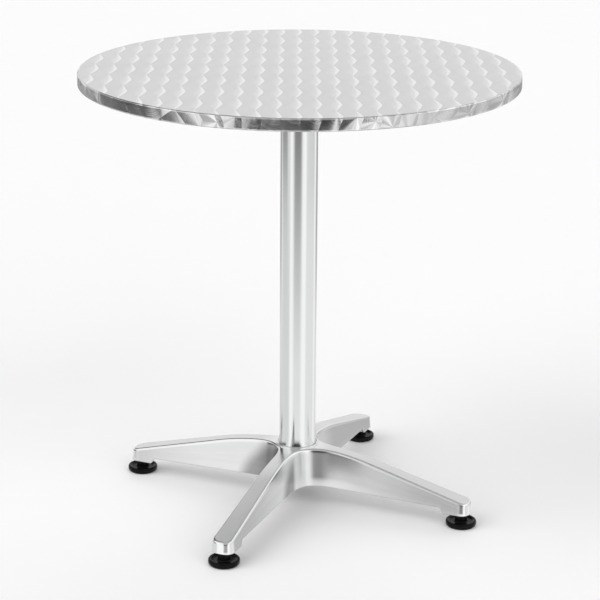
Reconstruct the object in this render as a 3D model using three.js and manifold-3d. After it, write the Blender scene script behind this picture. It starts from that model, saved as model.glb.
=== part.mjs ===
// Round bistro table: a steel-faced top on one aluminium column and a cast four-leg base.
// Millimetres, +Z up. The origin is on the floor, under the middle of the column.
// The legs lie along the X and Y axes, and -Y is the front.

import * as THREE from "three";
import { mergeVertices } from "three/addons/utils/BufferGeometryUtils.js";
import Module from "manifold-3d";

const wasm = await Module();
wasm.setup();

// Whole table
const tableHeight = 730;
const clearance = 0.3;
const QUARTER_TURN = Math.PI / 2;
const SIDES = [
  { name: "right", turn: 0 },
  { name: "back", turn: QUARTER_TURN },
  { name: "left", turn: 2 * QUARTER_TURN },
  { name: "front", turn: 3 * QUARTER_TURN },
];

// Top: a sheet steel skin folded round a board core, with a backing sheet under the core
const topDiameter = 700;
const topThickness = 20;
const skinSheet = 0.8;
const skinEdgeRadius = 3;
const hemEdgeRadius = 2;
const hemWidth = 12;
const backingSheet = 1;
const backingEdgeGap = 3;

// Column: one straight tube, widened at its foot to slip over the base's spigot
const columnDiameter = 60;
const columnWall = 2;
const flareGrowth = 2.4;
const flareLength = 32;

// Spider: the cast cross under the top that the column carries
const spiderReach = 150;
const spiderArmWidth = 34;
const spiderTipCorner = 12;
const spiderCrotchRadius = 26;
const spiderThickness = 8;
const spiderHubMargin = 3;
const spiderSpigotLength = 24;

// Spider screws: two on each arm, up into the core
const screwInnerRadius = 78;
const screwOuterRadius = 136;
const screwShankDiameter = 4.2;
const screwLength = 19;
const screwPointLength = 3;
const screwHeadDiameter = 9;
const screwHeadHeight = 2.8;
const screwHeadRound = 1.2;

// Tie rod: pulls the spider, the column and the base together
const rodDiameter = 10;
const rodTailLength = 14;
const threadChamfer = 1;
const washerDiameter = 30;
const washerThickness = 2.5;
const nutAcrossFlats = 17;
const nutHeight = 8;

// Base casting: hub and four legs, open underneath, with drafted sides
const hubHeight = 98.5;
const legBendRadius = 85.5;
const legBendLength = 111;
const footCircleRadius = 291;
const legHeightAtFoot = 45;
const legWidthAtFoot = 33.2;
const draftAngle = 5;
const skirtHeightAtHub = 37.5;
const skirtHeightAtFoot = 34.5;
const castWall = 4.5;
const castTopWall = 6;
const tipReach = 15.6;
const tipCorner = 9;
const bossHeight = 21.5;
const bossDiameter = 37;
const seatRingHeight = 2.2;
const seatRingWidth = 2.4;
const seatRingRound = 0.6;
const crotchMargin = 0.8;
const baseSpigotLength = 22;
const hubBossDiameter = 40;
const hubBossBottom = 64;

// Levelling feet: a threaded stud and a round pad moulded over its head
const padDiameter = 50;
const padRimHeight = 10;
const padLowerRound = 4;
const padUpperRound = 3;
const padDishDepth = 3.4;
const padNeckDiameter = 19;
const padNeckFillet = 2.5;
const padNeckRound = 1.5;
const padSoleRecessDiameter = 30;
const padSoleRecessDepth = 0.8;
const studDiameter = 8;
const studHeadDiameter = 16;
const studHeadHeight = 4;
const studHeadFloor = 3;
const studEngagement = 16;

// How finely the round surfaces are divided
const TOP_SEGMENTS = 72;
const CAST_SEGMENTS = 72;
const TUBE_SEGMENTS = 36;
const PAD_SEGMENTS = 24;
const ROUND_SEGMENTS = 16;
const SMALL_SEGMENTS = 12;
const NUT_SIDES = 6;
const CORNER_STEPS = 2;
const FLARE_STEPS = 4;
const BEND_STEPS = 6;
const OUTLINE_DIVISIONS = 4;

// Smallest distance between separate corners, smallest plan corner, and how far a cutting
// body reaches past the face that it cuts
const JOIN_DISTANCE = 1e-4;
const SMALLEST_CORNER = 1;
const overcut = 1;

// Values that follow from the sizes above
const topRadius = topDiameter / 2;
const topUnderside = tableHeight - topThickness;
const backingBottom = topUnderside + skinSheet + clearance;
const backingTop = backingBottom + backingSheet;
const coreBottom = backingTop + clearance;
const coreTop = tableHeight - skinSheet - clearance;
const coreRadius = topRadius - skinSheet - clearance;
const spiderTop = backingBottom - clearance;
const spiderBottom = spiderTop - spiderThickness;
const columnRadius = columnDiameter / 2;
const columnTop = spiderBottom - clearance;
const columnBottom = hubHeight + clearance;
const rodRadius = rodDiameter / 2;
const rodTop = spiderTop - spiderThickness / 2 - clearance;
const washerTop = hubBossBottom - clearance;
const washerBottom = washerTop - washerThickness;
const nutTop = washerBottom - clearance;
const nutBottom = nutTop - nutHeight;
const draft = Math.tan(THREE.MathUtils.degToRad(draftAngle));
const legSlope = (hubHeight - legHeightAtFoot) / (footCircleRadius - legBendRadius);
const seatRingInner = columnRadius + flareGrowth + clearance;
const seatRingOuter = seatRingInner + seatRingWidth;
const bossRadius = bossDiameter / 2;
const studRadius = studDiameter / 2;
const studHoleTop = bossHeight + studEngagement + clearance;
const padTop = bossHeight - clearance;
const castReach = footCircleRadius + tipReach + bossRadius;

const materials = {
  steel: { color: 0xd3d5d8, roughness: 0.28, metalness: 1 },
  board: { color: 0xa98c68, roughness: 0.85, metalness: 0 },
  backing: { color: 0xb9babb, roughness: 0.6, metalness: 0 },
  castAluminium: { color: 0xc3c5c8, roughness: 0.4, metalness: 1 },
  tubeAluminium: { color: 0xd5d8da, roughness: 0.25, metalness: 1 },
  zincSteel: { color: 0xb4b6b5, roughness: 0.4, metalness: 1 },
  blackPlastic: { color: 0x0c0d0e, roughness: 0.4, metalness: 0 },
};

const table = new THREE.Group();
table.name = "bistro_table";

// Closed solid from a geometry, with its shared corners joined
function toSolid(geometry) {
  const bare = geometry.clone();
  bare.deleteAttribute("normal");
  bare.deleteAttribute("uv");
  const joined = mergeVertices(bare, JOIN_DISTANCE);
  const vertProperties = new Float32Array(joined.attributes.position.array);
  const triVerts = new Uint32Array(joined.index.array);
  return new wasm.Manifold(new wasm.Mesh({ numProp: 3, vertProperties, triVerts }));
}

// Named mesh from a solid, added to the table
function addPiece(name, solid, look) {
  const result = solid.getMesh();
  const geometry = new THREE.BufferGeometry();
  geometry.setAttribute("position", new THREE.BufferAttribute(new Float32Array(result.vertProperties), 3));
  geometry.setIndex(new THREE.BufferAttribute(new Uint32Array(result.triVerts), 1));
  geometry.computeVertexNormals();
  const mesh = new THREE.Mesh(geometry, new THREE.MeshStandardMaterial(look));
  mesh.name = name;
  table.add(mesh);
}

// Turned solid about the vertical line through (x, y), from [radius, height] pairs
function turned(profile, segments, x = 0, y = 0) {
  const points = profile.map(([radius, height]) => new THREE.Vector2(radius, height));
  const geometry = new THREE.LatheGeometry(points, segments);
  geometry.rotateX(QUARTER_TURN);
  geometry.translate(x, y, 0);
  return toSolid(geometry);
}

function cylinder(radius, bottom, top, segments, x = 0, y = 0) {
  return turned([[0, bottom], [radius, bottom], [radius, top], [0, top]], segments, x, y);
}

// Points of a quarter round, from one angle to the next, about a corner's centre
function quarterRound(centreRadius, centreHeight, radius, fromAngle, steps) {
  const points = [];
  for (let step = 0; step <= steps; step += 1) {
    const angle = fromAngle + (step / steps) * QUARTER_TURN;
    points.push([centreRadius + radius * Math.cos(angle), centreHeight + radius * Math.sin(angle)]);
  }
  return points;
}

// Plan outline of a four-armed cross with round inner corners and rounded arm tips.
// A positive inset draws every side in by that much.
function crossOutline(cross, inset) {
  const halfWidth = cross.halfWidth - inset;
  const corner = Math.min(Math.max(cross.corner - inset, SMALLEST_CORNER), halfWidth);
  const tip = cross.reach - inset - corner;
  const crotchCentre = cross.halfWidth + cross.crotchRadius;
  const crotchRadius = cross.crotchRadius + inset;
  const path = new THREE.Path();
  SIDES.forEach(({ turn }) => {
    const place = new THREE.Vector2();
    const zero = new THREE.Vector2();
    const arc = (along, across, radius, from, to, clockwise) => {
      place.set(along, across).rotateAround(zero, turn);
      path.absarc(place.x, place.y, radius, turn + from, turn + to, clockwise);
    };
    arc(tip, corner - halfWidth, corner, -QUARTER_TURN, 0, false);
    arc(tip, halfWidth - corner, corner, 0, QUARTER_TURN, false);
    arc(crotchCentre, crotchCentre, crotchRadius, -QUARTER_TURN, -2 * QUARTER_TURN, true);
  });
  path.closePath();
  const points = path.getPoints(OUTLINE_DIVISIONS);
  return points.filter((point, i) => {
    const next = points[(i + 1) % points.length];
    return point.distanceTo(next) > JOIN_DISTANCE;
  });
}

// Solid between two outlines that have the same number of points
function loft(lower, upper, bottom, top) {
  const count = lower.length;
  const positions = [];
  lower.forEach((point) => positions.push(point.x, point.y, bottom));
  upper.forEach((point) => positions.push(point.x, point.y, top));
  const index = [];
  lower.forEach((point, i) => {
    const next = (i + 1) % count;
    index.push(i, next, count + next);
    index.push(i, count + next, count + i);
  });
  THREE.ShapeUtils.triangulateShape(lower, []).forEach(([a, b, c]) => index.push(c, b, a));
  THREE.ShapeUtils.triangulateShape(upper, []).forEach(([a, b, c]) => {
    index.push(count + a, count + b, count + c);
  });
  const geometry = new THREE.BufferGeometry();
  geometry.setAttribute("position", new THREE.Float32BufferAttribute(positions, 3));
  geometry.setIndex(index);
  return toSolid(geometry);
}

// Places of the spider's screws, as plan points
function screwPlaces() {
  const places = [];
  SIDES.forEach(({ name, turn }) => {
    [["inner", screwInnerRadius], ["outer", screwOuterRadius]].forEach(([row, radius]) => {
      places.push({ name: `${row}_${name}`, x: radius * Math.cos(turn), y: radius * Math.sin(turn) });
    });
  });
  return places;
}

// Place of each foot, as plan points
function footPlaces() {
  return SIDES.map(({ name, turn }) => ({
    name,
    x: footCircleRadius * Math.cos(turn),
    y: footCircleRadius * Math.sin(turn),
  }));
}

// Steel skin: flat face, rounded upper edge, rim, and a hem turned in under the core
function addTopSkin() {
  const wallRadius = topRadius - skinSheet;
  const hemInner = topRadius - hemWidth;
  const hemInside = Math.max(hemEdgeRadius - skinSheet, skinSheet);
  const edgeInside = Math.max(skinEdgeRadius - skinSheet, skinSheet);
  const outer = [
    [hemInner, topUnderside],
    ...quarterRound(topRadius - hemEdgeRadius, topUnderside + hemEdgeRadius, hemEdgeRadius,
      -QUARTER_TURN, CORNER_STEPS),
    ...quarterRound(topRadius - skinEdgeRadius, tableHeight - skinEdgeRadius, skinEdgeRadius,
      0, CORNER_STEPS),
    [0, tableHeight],
  ];
  const inner = [
    [hemInner, topUnderside + skinSheet],
    ...quarterRound(wallRadius - hemInside, topUnderside + skinSheet + hemInside, hemInside,
      -QUARTER_TURN, 1),
    ...quarterRound(wallRadius - edgeInside, tableHeight - skinSheet - edgeInside, edgeInside, 0, 1),
    [0, tableHeight - skinSheet],
  ];
  addPiece("top_skin", turned([...outer, ...inner.reverse(), outer[0]], TOP_SEGMENTS), materials.steel);
}

// Board core: a disc with chamfered edges inside the skin, drilled for the spider's screws
function addTopCore() {
  const edge = Math.max(skinEdgeRadius, hemEdgeRadius);
  let core = turned([
    [0, coreBottom],
    [coreRadius - edge, coreBottom],
    [coreRadius, coreBottom + edge],
    [coreRadius, coreTop - edge],
    [coreRadius - edge, coreTop],
    [0, coreTop],
  ], TOP_SEGMENTS);
  const tip = spiderBottom + screwLength;
  screwPlaces().forEach(({ x, y }) => {
    const hole = cylinder(screwShankDiameter / 2 + clearance, spiderTop, tip, SMALL_SEGMENTS, x, y);
    core = core.subtract(hole);
  });
  addPiece("top_core", core, materials.board);
}

// Backing sheet: held between the core and the hem, with holes for the screws
function addBackingSheet() {
  const radius = coreRadius - backingEdgeGap;
  let sheet = cylinder(radius, backingBottom, backingTop, TOP_SEGMENTS);
  screwPlaces().forEach(({ x, y }) => {
    const hole = cylinder(screwShankDiameter / 2 + clearance, spiderTop, coreTop, SMALL_SEGMENTS, x, y);
    sheet = sheet.subtract(hole);
  });
  addPiece("backing_sheet", sheet, materials.backing);
}

// Spider: flat cross with a spigot that enters the column and takes the tie rod
function addSpider() {
  const cross = {
    halfWidth: spiderArmWidth / 2,
    reach: spiderReach,
    corner: spiderTipCorner,
    crotchRadius: spiderCrotchRadius,
  };
  const outline = crossOutline(cross, 0);
  const spigotRadius = columnRadius - columnWall - clearance;
  const spigotBottom = spiderBottom - spiderSpigotLength;
  const hubDiscRadius = columnRadius + spiderHubMargin;
  let spider = loft(outline, outline, spiderBottom, spiderTop)
    .add(cylinder(hubDiscRadius, spiderBottom, spiderTop, TUBE_SEGMENTS))
    .add(cylinder(spigotRadius, spigotBottom, spiderTop - overcut, TUBE_SEGMENTS))
    .subtract(cylinder(rodRadius + clearance, spigotBottom - overcut, rodTop + clearance, ROUND_SEGMENTS));
  screwPlaces().forEach(({ x, y }) => {
    const holeRadius = screwShankDiameter / 2 + clearance;
    const hole = cylinder(holeRadius, spiderBottom - overcut, spiderTop + overcut, SMALL_SEGMENTS, x, y);
    spider = spider.subtract(hole);
  });
  addPiece("top_spider", spider, materials.castAluminium);
}

// Pan-head screws, driven up through the spider's arms
function addSpiderScrews() {
  const shank = screwShankDiameter / 2;
  const head = screwHeadDiameter / 2;
  const seat = spiderBottom - clearance;
  const tip = seat + screwLength;
  screwPlaces().forEach(({ name, x, y }) => {
    const screw = turned([
      [0, seat - screwHeadHeight],
      [head - screwHeadRound, seat - screwHeadHeight],
      [head, seat - screwHeadHeight + screwHeadRound],
      [head, seat],
      [shank, seat],
      [shank, tip - screwPointLength],
      [0, tip],
    ], SMALL_SEGMENTS, x, y);
    addPiece(`spider_screw_${name}`, screw, materials.zincSteel);
  });
}

// Outer radius of the column at a height: straight, then widening towards the base
function columnRadiusAt(height) {
  const share = Math.max(0, 1 - (height - columnBottom) / flareLength);
  return columnRadius + flareGrowth * share * share;
}

// Heights at which the flared part of the column has a ring of corners, from the base up
function flareHeights(top) {
  const heights = [];
  for (let step = 0; step <= FLARE_STEPS; step += 1) {
    heights.push(columnBottom + (step / FLARE_STEPS) * flareLength);
  }
  return heights.filter((height) => height < top);
}

function addColumn() {
  const outer = flareHeights(columnTop).map((height) => [columnRadiusAt(height), height]);
  outer.push([columnRadius, columnTop]);
  const inner = outer.map(([radius, height]) => [radius - columnWall, height]).reverse();
  addPiece("column_tube", turned([...outer, ...inner, outer[0]], TUBE_SEGMENTS), materials.tubeAluminium);
}

function addTieRod() {
  const bottom = nutBottom - rodTailLength;
  const rod = turned([
    [0, bottom],
    [rodRadius - threadChamfer, bottom],
    [rodRadius, bottom + threadChamfer],
    [rodRadius, rodTop - threadChamfer],
    [rodRadius - threadChamfer, rodTop],
    [0, rodTop],
  ], ROUND_SEGMENTS);
  addPiece("tie_rod", rod, materials.zincSteel);
}

// Washer and nut that tighten the tie rod from inside the hub
function addRodFastening() {
  const hole = cylinder(rodRadius + clearance, nutBottom - overcut, washerTop + overcut, ROUND_SEGMENTS);
  const washer = cylinder(washerDiameter / 2, washerBottom, washerTop, ROUND_SEGMENTS).subtract(hole);
  addPiece("rod_washer", washer, materials.zincSteel);
  const nutCornerRadius = nutAcrossFlats / Math.sqrt(3);
  const nut = cylinder(nutCornerRadius, nutBottom, nutTop, NUT_SIDES).subtract(hole);
  addPiece("rod_nut", nut, materials.zincSteel);
}

// Height of the casting's upper surface at a distance from the column's axis, as curve points:
// level at the hub, a long bend, then a straight slope down to the tips
function legTopCurve() {
  const halfBend = Math.min(legBendLength / 2, legBendRadius);
  const bend = new THREE.QuadraticBezierCurve(
    new THREE.Vector2(legBendRadius - halfBend, hubHeight),
    new THREE.Vector2(legBendRadius, hubHeight),
    new THREE.Vector2(legBendRadius + halfBend, hubHeight - legSlope * halfBend),
  );
  const points = bend.getPoints(BEND_STEPS).map((point) => [point.x, point.y]);
  points.push([castReach, hubHeight - legSlope * (castReach - legBendRadius)]);
  return points;
}

// Plan cross of the casting at floor level, which its draft narrows with height.
// The crotch radius leaves the seat ring just inside the hub's upper edge.
function castCross() {
  const halfWidth = legWidthAtFoot / 2 + legHeightAtFoot * draft;
  const hubInset = hubHeight * draft;
  const diagonal = seatRingOuter + crotchMargin + hubInset - halfWidth * Math.SQRT2;
  return {
    halfWidth,
    reach: footCircleRadius + tipReach + bossHeight * draft,
    corner: tipCorner + legHeightAtFoot * draft,
    crotchRadius: diagonal / (Math.SQRT2 - 1),
  };
}

// Drafted prism of the casting's plan, drawn in by a wall for its hollow
function castPrism(wall) {
  const cross = castCross();
  const top = hubHeight + clearance;
  return loft(crossOutline(cross, wall), crossOutline(cross, wall + top * draft), 0, top);
}

// Hollow under the casting: follows the upper surface and the sides, clear of the bosses
function castHollow() {
  const ceiling = legTopCurve().map(([radius, height]) => [radius, height - castTopWall]).reverse();
  const profile = [[0, -overcut], [castReach, -overcut], ...ceiling, [0, hubHeight - castTopWall]];
  let hollow = castPrism(castWall).intersect(turned(profile, CAST_SEGMENTS));
  hollow = hollow.subtract(cylinder(hubBossDiameter / 2, hubBossBottom, hubHeight, ROUND_SEGMENTS));
  footPlaces().forEach(({ x, y }) => {
    hollow = hollow.subtract(cylinder(bossRadius, -overcut, hubHeight, PAD_SEGMENTS, x, y));
  });
  return hollow;
}

// Raised ring round the column's foot and the spigot inside it
function columnSeat() {
  const root = hubHeight - castTopWall / 2;
  const ringTop = hubHeight + seatRingHeight;
  const ring = turned([
    [seatRingInner, root],
    [seatRingOuter, root],
    [seatRingOuter, ringTop - seatRingRound],
    [seatRingOuter - seatRingRound, ringTop],
    [seatRingInner + seatRingRound, ringTop],
    [seatRingInner, ringTop - seatRingRound],
    [seatRingInner, root],
  ], TUBE_SEGMENTS);
  const spigotTop = hubHeight + baseSpigotLength;
  const spigotRadiusAt = (height) => columnRadiusAt(height) - columnWall - clearance;
  const side = flareHeights(spigotTop).map((height) => [spigotRadiusAt(height), height]);
  const spigot = turned([
    [0, root],
    [spigotRadiusAt(columnBottom), root],
    ...side,
    [spigotRadiusAt(spigotTop), spigotTop],
    [0, spigotTop],
  ], TUBE_SEGMENTS);
  return ring.add(spigot);
}

function addBaseCasting() {
  const skirt = [[0, skirtHeightAtHub], [castReach, skirtHeightAtFoot]];
  const bodyProfile = [...skirt, ...legTopCurve().reverse(), [0, hubHeight]];
  let body = turned(bodyProfile, CAST_SEGMENTS);
  const bossTop = legHeightAtFoot - castTopWall;
  footPlaces().forEach(({ x, y }) => {
    body = body.add(cylinder(bossRadius, bossHeight, bossTop, PAD_SEGMENTS, x, y));
  });
  let casting = castPrism(0).intersect(body).subtract(castHollow()).add(columnSeat());
  casting = casting.subtract(
    cylinder(rodRadius + clearance, 0, hubHeight + baseSpigotLength + overcut, ROUND_SEGMENTS),
  );
  footPlaces().forEach(({ x, y }) => {
    casting = casting.subtract(
      cylinder(studRadius + clearance, 0, studHoleTop, ROUND_SEGMENTS, x, y),
    );
  });
  addPiece("base_casting", casting, materials.castAluminium);
}

// Threaded stud of a foot, with the round head that the pad is moulded over
function addStud({ name, x, y }) {
  const head = studHeadDiameter / 2;
  const headTop = studHeadFloor + studHeadHeight;
  const top = bossHeight + studEngagement;
  const stud = turned([
    [0, studHeadFloor],
    [head, studHeadFloor],
    [head, headTop],
    [studRadius, headTop],
    [studRadius, top - threadChamfer],
    [studRadius - threadChamfer, top],
    [0, top],
  ], ROUND_SEGMENTS, x, y);
  addPiece(`foot_stud_${name}`, stud, materials.zincSteel);
}

// Pad of a foot: thick rounded rim, dished upper face and a neck up to the leg's boss
function addPad({ name, x, y }) {
  const rim = padDiameter / 2;
  const neck = padNeckDiameter / 2;
  const recess = padSoleRecessDiameter / 2;
  const dish = padRimHeight - padDishDepth;
  const hole = studRadius + clearance;
  const pocket = studHeadDiameter / 2 + clearance;
  const pocketFloor = studHeadFloor - clearance;
  const pocketTop = studHeadFloor + studHeadHeight + clearance;
  const upperRound = quarterRound(rim - padUpperRound, padRimHeight - padUpperRound, padUpperRound,
    0, CORNER_STEPS);
  const pad = turned([
    [0, padSoleRecessDepth],
    [recess, padSoleRecessDepth],
    [recess, 0],
    ...quarterRound(rim - padLowerRound, padLowerRound, padLowerRound, -QUARTER_TURN, CORNER_STEPS),
    ...upperRound,
    [neck + padNeckFillet, dish],
    [neck, dish + padNeckFillet],
    [neck, padTop - padNeckRound],
    [neck - padNeckRound, padTop],
    [hole, padTop],
    [hole, pocketTop],
    [pocket, pocketTop],
    [pocket, pocketFloor],
    [0, pocketFloor],
  ], PAD_SEGMENTS, x, y);
  addPiece(`foot_pad_${name}`, pad, materials.blackPlastic);
}

addTopSkin();
addTopCore();
addBackingSheet();
addSpider();
addSpiderScrews();
addColumn();
addTieRod();
addRodFastening();
addBaseCasting();
footPlaces().forEach((place) => {
  addStud(place);
  addPad(place);
});

export default table;
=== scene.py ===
# %% [markdown]
# A round bistro table, dressed for the studio
#
# The table is a steel-faced disc on one aluminium tube, carried by a cast aluminium base with four
# long legs and four black levelling feet. The CAD part gives every size and every moving joint.
# This notebook builds the visible surfaces round it: thin folded edges, rounded castings, threads,
# and metal finishes made only from nodes. Every length below is in millimetres and is turned into
# Blender's metres by the value MM, because a maker's drawing speaks in millimetres.

# %% Load the CAD frame
import math

import bmesh
import bpy
from mathutils import Matrix, Vector


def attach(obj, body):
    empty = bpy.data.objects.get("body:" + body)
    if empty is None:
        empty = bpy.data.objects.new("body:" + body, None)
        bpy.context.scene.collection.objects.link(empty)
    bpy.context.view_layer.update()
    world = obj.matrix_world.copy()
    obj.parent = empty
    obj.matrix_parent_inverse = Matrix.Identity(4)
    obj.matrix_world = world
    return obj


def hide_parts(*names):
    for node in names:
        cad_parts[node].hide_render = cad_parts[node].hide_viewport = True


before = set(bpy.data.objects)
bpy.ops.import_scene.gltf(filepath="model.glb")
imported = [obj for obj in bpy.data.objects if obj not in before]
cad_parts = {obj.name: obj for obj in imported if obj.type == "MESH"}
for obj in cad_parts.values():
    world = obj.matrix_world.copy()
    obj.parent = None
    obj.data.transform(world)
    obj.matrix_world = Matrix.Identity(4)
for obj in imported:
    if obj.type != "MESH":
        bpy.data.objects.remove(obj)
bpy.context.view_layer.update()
MM = 0.001
SIDES = {"right": 0, "back": 90, "left": 180, "front": 270}

# %% [markdown]
# The camera
#
# The photograph was taken from a standing eye height with a long lens, a few metres away. A camera
# could be tried by hand until it looks right. Here its place was worked out from the ellipse of the
# top, the edges of the column and the four feet, so the numbers are kept as they came out: how far
# away and how high the camera is, how far it is turned round the table, and a slight roll.

# %% Place the camera
CAMERA_TURN = 22.9
CAMERA_DISTANCE = 3217.4
CAMERA_HEIGHT = 1379.8
CAMERA_PITCH = 0.3105
CAMERA_YAW = 0.00087
CAMERA_ROLL = 0.007
CAMERA_LENS = 123.95
FILM_WIDTH = 36

turn = math.radians(CAMERA_TURN)
towards_camera = Vector((math.sin(turn), -math.cos(turn), 0))
camera = bpy.data.objects.new("studio_camera", bpy.data.cameras.new("studio_camera"))
camera.data.lens = CAMERA_LENS
camera.data.sensor_width = FILM_WIDTH
camera.location = towards_camera * CAMERA_DISTANCE * MM + Vector((0, 0, CAMERA_HEIGHT * MM))
camera.rotation_euler = (
    Matrix.Rotation(turn - CAMERA_YAW, 3, "Z")
    @ Matrix.Rotation(math.pi / 2 - CAMERA_PITCH, 3, "X")
    @ Matrix.Rotation(CAMERA_ROLL, 3, "Z")
).to_euler()
bpy.context.scene.collection.objects.link(camera)
bpy.context.scene.camera = camera
bpy.context.scene.view_settings.view_transform = "Standard"
print("camera at", [round(v, 3) for v in camera.location])

# %% [markdown]
# Building node trees
#
# A finish is a small tree of nodes. Writing every node by hand is long, so values in a tree are
# wrapped in a small class: adding or multiplying two of them adds the math node that does it. The
# helpers after it are the pieces that most finishes need, such as a ramp, a noise or a bump.

# %% Values in a node tree
def plug(tree, value, socket):
    if isinstance(value, Signal):
        tree.links.new(value.socket, socket)
    else:
        socket.default_value = value


def add_node(tree, kind, inputs=None, **settings):
    made = tree.nodes.new(kind)
    for name, value in settings.items():
        setattr(made, name, value)
    for name, value in (inputs or {}).items():
        plug(tree, value, made.inputs[name])
    return made


def signal(tree, kind, inputs=None, output=0, **settings):
    return Signal(tree, add_node(tree, kind, inputs, **settings).outputs[output])


def calc(operation, *values):
    tree = next(value.tree for value in values if isinstance(value, Signal))
    return signal(tree, "ShaderNodeMath", dict(enumerate(values)), operation=operation)


class Signal:
    """An output in a node tree. Arithmetic with it adds math nodes to that tree."""

    def __init__(self, tree, socket):
        self.tree, self.socket = tree, socket

    def __add__(self, other):
        return calc("ADD", self, other)

    def __sub__(self, other):
        return calc("SUBTRACT", self, other)

    def __rsub__(self, other):
        return calc("SUBTRACT", other, self)

    def __mul__(self, other):
        return calc("MULTIPLY", self, other)

    def __truediv__(self, other):
        return calc("DIVIDE", self, other)

    __radd__, __rmul__ = __add__, __mul__


print("node values can be added, subtracted, multiplied and divided")

# %% [markdown]
# Small helpers for finishes
#
# The first ones change a value: keep the largest of several, run it through a ramp, or blend two.
# The last one splits a vector. Further helpers follow where a finish first needs them.

# %% Node helpers
def largest(first, *others):
    for other in others:
        first = calc("MAXIMUM", first, other)
    return first


def ramp(value, low, high, start=0.0, end=1.0, smooth=True):
    return signal(value.tree, "ShaderNodeMapRange", {
        "Value": value, "From Min": low, "From Max": high, "To Min": start, "To Max": end,
    }, interpolation_type="SMOOTHSTEP" if smooth else "LINEAR")


def mix(factor, start, end, kind="FLOAT"):
    return signal(factor.tree, "ShaderNodeMix", {"Factor": factor, "A": start, "B": end},
                  "Result", data_type=kind)


def split(vector):
    made = add_node(vector.tree, "ShaderNodeSeparateXYZ", {"Vector": vector})
    return [Signal(vector.tree, output) for output in made.outputs]


# %% [markdown]
# The studio
#
# Bare metal shows the room more than itself, so the room matters as much as the finish. A packshot
# room is white all round, with dark gaps between its panels: one behind the photographer and some
# at the sides. Real panels could be modelled one by one. It is simpler and calmer to give the world
# those tones by direction, for reflections only, and to light the matt surfaces with an even sky
# and three wide lamps. The camera sees plain white behind the table. Azimuth runs from the
# photographer to the right, and both angles are in degrees. Each gap has its middle, half width and
# softness in azimuth, its depth, and ramps that change the depth with elevation: from, to, the
# share at each end, and whether the ramp is smooth.

# %% World
DIFFUSE_SKY = 0.40
DEGREES = 180 / math.pi
SIDE_GAPS = {
    "left": (-96, 24, 7, 1.0, [(-16.2, -10.5, 0.26, 0.90, False)]),
    "left_low": (-86, 30, 8, 0.28, []),
    "left_level": (-104, 25, 6, 1.0, [(-13.5, -12.8, 0, 0.88, True)]),
    "far_left_low": (-137, 25, 8, 1.0, [(-21.5, -14, 0.34, 0.04, False)]),
    "far_left_level": (-150, 40, 8, 1.0, [(-13.4, -12, 0, 0.35, True), (-6, 1, 1, 0, True)]),
    "right": (80, 32, 6, 1.0, [(-15.4, -13.2, 0.18, 0.46, False), (-13.2, -12.2, 1, 0.35, True)]),
    "right_level": (105, 45, 12, 1.0, [(-10.8, -9.4, 0, 0.55, True), (-5, 2, 1, 0.3, True)]),
    "back": (146, 20, 7, 0.22, [])}
FRONT_GAP = (-7, 24, 11)
CEILING_SLOT = (-134, 26, 6, 1.0, [(12, 26, 0, 0.9, True)])
BACK_PANEL_DIM = 0.14

world = bpy.data.worlds.new("studio_room")
bpy.context.scene.world = world
world.use_nodes = True
room = world.node_tree
room.nodes.clear()
direction = signal(room, "ShaderNodeTexCoord", output="Generated")
east, north, up = split(signal(room, "ShaderNodeVectorRotate", {
    "Vector": direction, "Angle": -turn}, rotation_type="Z_AXIS"))
azimuth = calc("ARCTAN2", east, north * -1) * DEGREES
elevation = calc("ARCSINE", up) * DEGREES
around = calc("ABSOLUTE", azimuth)


def room_band(angle, middle, half_width, softness):
    offset = calc("ABSOLUTE", angle - middle)
    return ramp(offset, half_width - softness, half_width + softness, 1, 0)


def room_gap(middle, half_width, softness, depth, ramps):
    made = room_band(azimuth, middle, half_width, softness) * depth
    for low, high, start, end, smooth in ramps:
        made = made * ramp(elevation, low, high, start, end, smooth)
    return made


side_gap = largest(*(room_gap(*row) for row in SIDE_GAPS.values()))
side_gap = side_gap * ramp(elevation, 0, 14, 1, 0.15)
front_middle, front_half, front_softness = FRONT_GAP
front_reach = largest(ramp(elevation, 20, 60, front_half, 60),
                      ramp(elevation, -11.0, -9.5, front_half, 30))
front_gap = (ramp(elevation, -19.2, -11.6, 0.15, 0.97, smooth=False)
             * ramp(elevation, -7, 7, 1, 0.55)
             * room_band(azimuth, front_middle, front_reach, front_softness))
sweep_foot = room_band(around, 180, 50, 10) * room_band(elevation, -13, 5, 3) * 0.6
ceiling_gap = largest(ramp(elevation, 43, 57, 0, 0.50), room_gap(*CEILING_SLOT))
near_floor = ramp(elevation, -60, -28, 0.55, 0)
shade = largest(front_gap, side_gap, near_floor, sweep_foot, ceiling_gap)
behind = ramp(around, 100, 130) * ramp(elevation, -7, 2)
reflected = (1.0 - behind * BACK_PANEL_DIM) * (1.0 - shade)
path = add_node(room, "ShaderNodeLightPath").outputs
camera_ray, glossy_ray, transmission_ray = [Signal(room, path[name]) for name in (
    "Is Camera Ray", "Is Glossy Ray", "Is Transmission Ray")]
strength = mix(glossy_ray, DIFFUSE_SKY, reflected)
strength = mix(largest(camera_ray, transmission_ray), strength, 1.0)
sky = add_node(room, "ShaderNodeBackground", {"Color": (1, 1, 1, 1), "Strength": strength})
room.links.new(sky.outputs[0], add_node(room, "ShaderNodeOutputWorld").inputs["Surface"])
print("world sky for matt surfaces:", DIFFUSE_SKY, "with", len(SIDE_GAPS), "side gaps")

# %% [markdown]
# The floor
#
# The floor is a plain pale sheet that keeps the table's soft shadow. A tilted or round floor would
# do as well. A flat grid is enough, and it reaches so far out that its end is never seen. Metal
# does not mirror this sheet: it takes the room's tones from the world, below the horizon as well,
# so the reflections stay the same wherever the table is looked at.

# %% Material helpers
def object_place(tree):
    return signal(tree, "ShaderNodeTexCoord", output="Object")


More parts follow.
